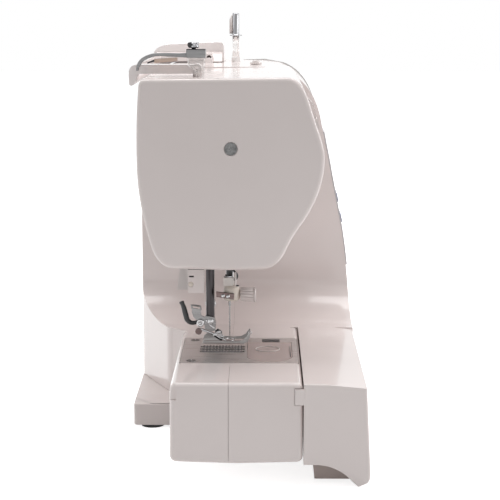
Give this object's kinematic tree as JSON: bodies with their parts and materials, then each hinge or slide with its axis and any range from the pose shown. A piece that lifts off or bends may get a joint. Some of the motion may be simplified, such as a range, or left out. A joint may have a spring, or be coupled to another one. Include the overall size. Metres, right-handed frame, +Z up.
{
  "type": "sewing machine",
  "caption": "Free-arm sewing machine with slide-on extension table, drop-in rotary hook, raised presser foot, carry handle, bobbin winder and front control panel.",
  "frame": {"origin": "on the table, under the middle of the machine's bounding box", "axes": "+X along the arm from the face cover to the handwheel, -Y towards the user, +Z up"},
  "size_m": [0.422, 0.1781, 0.324],
  "materials": {
    "housing": "moulded warm white gloss",
    "pan": "fine matt",
    "rubber": "matt black",
    "belt": "matt black",
    "plate_steel": "satin",
    "bright_steel": "polished",
    "steel": "machined",
    "dark_metal": "blackened",
    "black_plastic": "fine matt",
    "clear": "clear",
    "cream": "satin",
    "cast": "die cast",
    "bronze": "sintered",
    "motor_steel": "satin",
    "circuit": "solder mask",
    "panel": "satin",
    "display": "dark",
    "keys": "matt",
    "green_key": "satin"
  },
  "bodies": {
    "machine": {"front_casing": "housing", "rear_casing": "housing", "face_cover": "housing", "top_hump": "housing", "base_pan": "pan", "rubber_feet": "rubber", "timing_belt": "belt", "drive_belt": "belt", "needle_plate": "plate_steel", "cover_screws": "bright_steel", "presser_spring": "steel", "thread_guide": "steel", "pretension_disc": "dark_metal", "bobbin_case": "black_plastic", "power_inlet": "black_plastic", "lamp_lens": "clear", "frame_casting": "cast", "shaft_bushings": "bronze", "motor": "motor_steel", "control_board": "circuit", "control_panel": "panel", "display_window": "display", "stitch_buttons": "keys"},
    "table": {"extension_table": "housing", "accessory_tray": "pan"},
    "cover": {"bobbin_cover": "clear"},
    "latch": {"cover_latch": "black_plastic"},
    "feed_carrier": {"feed_bar": "cast"},
    "feed": {"feed_dogs": "bright_steel"},
    "drop_lever": {"drop_feed_lever": "black_plastic"},
    "hook": {"rotary_hook": "steel"},
    "bobbin_body": {"bobbin": "clear"},
    "shaft": {"upper_shaft": "steel", "handwheel": "housing"},
    "lower": {"lower_shaft": "steel"},
    "motor_spindle": {"motor_pulley": "steel"},
    "swing_frame": {"needle_bar_frame": "cast"},
    "needle_slide": {"needle_bar": "bright_steel", "needle_clamp": "cream", "needle": "bright_steel"},
    "clamp_knob": {"clamp_screw": "housing"},
    "link": {"needle_bar_link": "steel"},
    "take_up": {"take_up_lever": "steel"},
    "presser": {"presser_bar": "dark_metal", "foot_holder": "steel", "holder_screw": "bright_steel"},
    "foot": {"presser_foot": "bright_steel"},
    "release": {"foot_release_lever": "dark_metal"},
    "lifter": {"presser_lifter": "housing"},
    "buttonhole": {"buttonhole_lever": "housing"},
    "start_key": {"start_stop_button": "green_key"},
    "reverse_key": {"reverse_button": "housing"},
    "position_key": {"needle_position_button": "housing"},
    "slider": {"speed_slider": "housing"},
    "tension": {"tension_dial": "housing"},
    "pattern": {"stitch_dial": "housing"},
    "handle": {"carry_handle": "housing"},
    "winder": {"winder_spindle": "bright_steel"},
    "spool": {"spool_pin": "housing"},
    "rocker": {"power_switch": "black_plastic"}
  },
  "joints": [
    {"name": "table_slide", "type": "slide", "parent": "machine", "child": "table", "axis": [-1, 0, 0], "range_m": [0, 0.19]},
    {"name": "bobbin_cover_lift", "type": "slide", "parent": "machine", "child": "cover", "axis": [0, 0, 1], "range_m": [0, 0.005]},
    {"name": "cover_release", "type": "slide", "parent": "machine", "child": "latch", "axis": [1, 0, 0], "range_m": [0, 0.0025], "stiffness_N_per_m": 300},
    {"name": "feed_drop", "type": "slide", "parent": "machine", "child": "feed_carrier", "axis": [0, 0, -1], "range_m": [0, 0.0032]},
    {"name": "feed_travel", "type": "slide", "parent": "feed_carrier", "child": "feed", "axis": [0, 1, 0], "range_m": [-0.0014, 0.0014]},
    {"name": "drop_lever_slide", "type": "slide", "parent": "machine", "child": "drop_lever", "axis": [1, 0, 0], "range_m": [0, 0.016]},
    {"name": "shaft_turn", "type": "hinge", "parent": "machine", "child": "shaft", "pos_m": [0, 0.0105, 0.235], "axis": [1, 0, 0], "continuous": true},
    {"name": "lower_shaft_turn", "type": "hinge", "parent": "machine", "child": "lower", "pos_m": [0, 0.0034, 0.031], "axis": [1, 0, 0], "continuous": true},
    {"name": "hook_turn", "type": "hinge", "parent": "machine", "child": "hook", "pos_m": [-0.1055, -0.0149, 0.05], "axis": [0, 0, 1], "continuous": true},
    {"name": "motor_turn", "type": "hinge", "parent": "machine", "child": "motor_spindle", "pos_m": [0, 0.048, 0.062], "axis": [1, 0, 0], "continuous": true},
    {"name": "bobbin_spin", "type": "hinge", "parent": "machine", "child": "bobbin_body", "pos_m": [-0.1055, -0.0149, 0.055], "axis": [0, 0, 1], "continuous": true},
    {"name": "zigzag_swing", "type": "hinge", "parent": "machine", "child": "swing_frame", "pos_m": [-0.1214, 0, 0.241], "axis": [0, 1, 0], "range_deg": [-0.9, 0.9]},
    {"name": "needle_stroke", "type": "slide", "parent": "swing_frame", "child": "needle_slide", "axis": [0, 0, -1], "range_m": [0, 0.026]},
    {"name": "clamp_screw_turn", "type": "hinge", "parent": "needle_slide", "child": "clamp_knob", "pos_m": [-0.1055, 0, 0.116], "axis": [0, -1, 0], "continuous": true},
    {"name": "link_swing", "type": "hinge", "parent": "needle_slide", "child": "link", "pos_m": [0, 0.0105, 0.216], "axis": [1, 0, 0], "range_deg": [-26, 26]},
    {"name": "take_up_swing", "type": "hinge", "parent": "machine", "child": "take_up", "pos_m": [0, 0.0165, 0.222], "axis": [1, 0, 0], "range_deg": [0, 38]},
    {"name": "presser_slide", "type": "slide", "parent": "machine", "child": "presser", "axis": [0, 0, 1], "range_m": [-0.0036, 0], "deforming": ["presser_spring"]},
    {"name": "lifter_swing", "type": "hinge", "parent": "machine", "child": "lifter", "pos_m": [0, 0.03925, 0.16], "axis": [1, 0, 0], "range_deg": [-26.5, 0]},
    {"name": "foot_tilt", "type": "hinge", "parent": "presser", "child": "foot", "pos_m": [0, 0.03145, 0.0906], "axis": [1, 0, 0], "range_deg": [-10, 1.3]},
    {"name": "foot_release_swing", "type": "hinge", "parent": "presser", "child": "release", "pos_m": [0, 0.04285, 0.094], "axis": [1, 0, 0], "range_deg": [0, 8], "stiffness_Nm_per_rad": 0.05},
    {"name": "buttonhole_slide", "type": "slide", "parent": "machine", "child": "buttonhole", "axis": [0, 0, -1], "range_m": [0, 0.018]},
    {"name": "start_stop_press", "type": "slide", "parent": "machine", "child": "start_key", "axis": [0, 1, 0], "range_m": [0, 0.0015], "stiffness_N_per_m": 400},
    {"name": "reverse_press", "type": "slide", "parent": "machine", "child": "reverse_key", "axis": [0, 1, 0], "range_m": [0, 0.0015], "stiffness_N_per_m": 400},
    {"name": "needle_position_press", "type": "slide", "parent": "machine", "child": "position_key", "axis": [0, 1, 0], "range_m": [0, 0.0015], "stiffness_N_per_m": 400},
    {"name": "speed_slide", "type": "slide", "parent": "machine", "child": "slider", "axis": [1, 0, 0], "range_m": [-0.016, 0.016]},
    {"name": "tension_turn", "type": "hinge", "parent": "machine", "child": "tension", "pos_m": [0, -0.03712, 0.2495], "axis": [1, 0, 0], "range_deg": [-150, 150]},
    {"name": "pattern_turn", "type": "hinge", "parent": "machine", "child": "pattern", "pos_m": [0.156, -0.07165, 0.192], "axis": [0, -0.9814, 0.1922], "continuous": true},
    {"name": "handle_swing", "type": "hinge", "parent": "machine", "child": "handle", "pos_m": [0, 0.034, 0.2849], "axis": [1, 0, 0], "range_deg": [0, 92]},
    {"name": "winder_turn", "type": "hinge", "parent": "machine", "child": "winder", "pos_m": [0.139, 0.0105, 0.3], "axis": [0, 0, 1], "continuous": true},
    {"name": "spool_pin_pull", "type": "slide", "parent": "machine", "child": "spool", "axis": [0, 0, 1], "range_m": [0, 0.04]},
    {"name": "power_rock", "type": "hinge", "parent": "machine", "child": "rocker", "pos_m": [0.192, 0.045, 0.078], "axis": [0, 1, 0], "range_deg": [-6, 6]}
  ],
  "couplings": [
    {"joint": "lower_shaft_turn", "follows": "shaft_turn", "ratio": 1},
    {"joint": "hook_turn", "follows": "shaft_turn", "ratio": -1},
    {"joint": "motor_turn", "follows": "shaft_turn", "ratio": 3.75},
    {"joint": "take_up_swing", "follows": "needle_stroke", "rad_per_m": 24.166},
    {"joint": "lifter_swing", "follows": "presser_slide", "rad_per_m": 126.05},
    {"joint": "feed_drop", "follows": "drop_lever_slide", "ratio": 0.2}
  ]
}
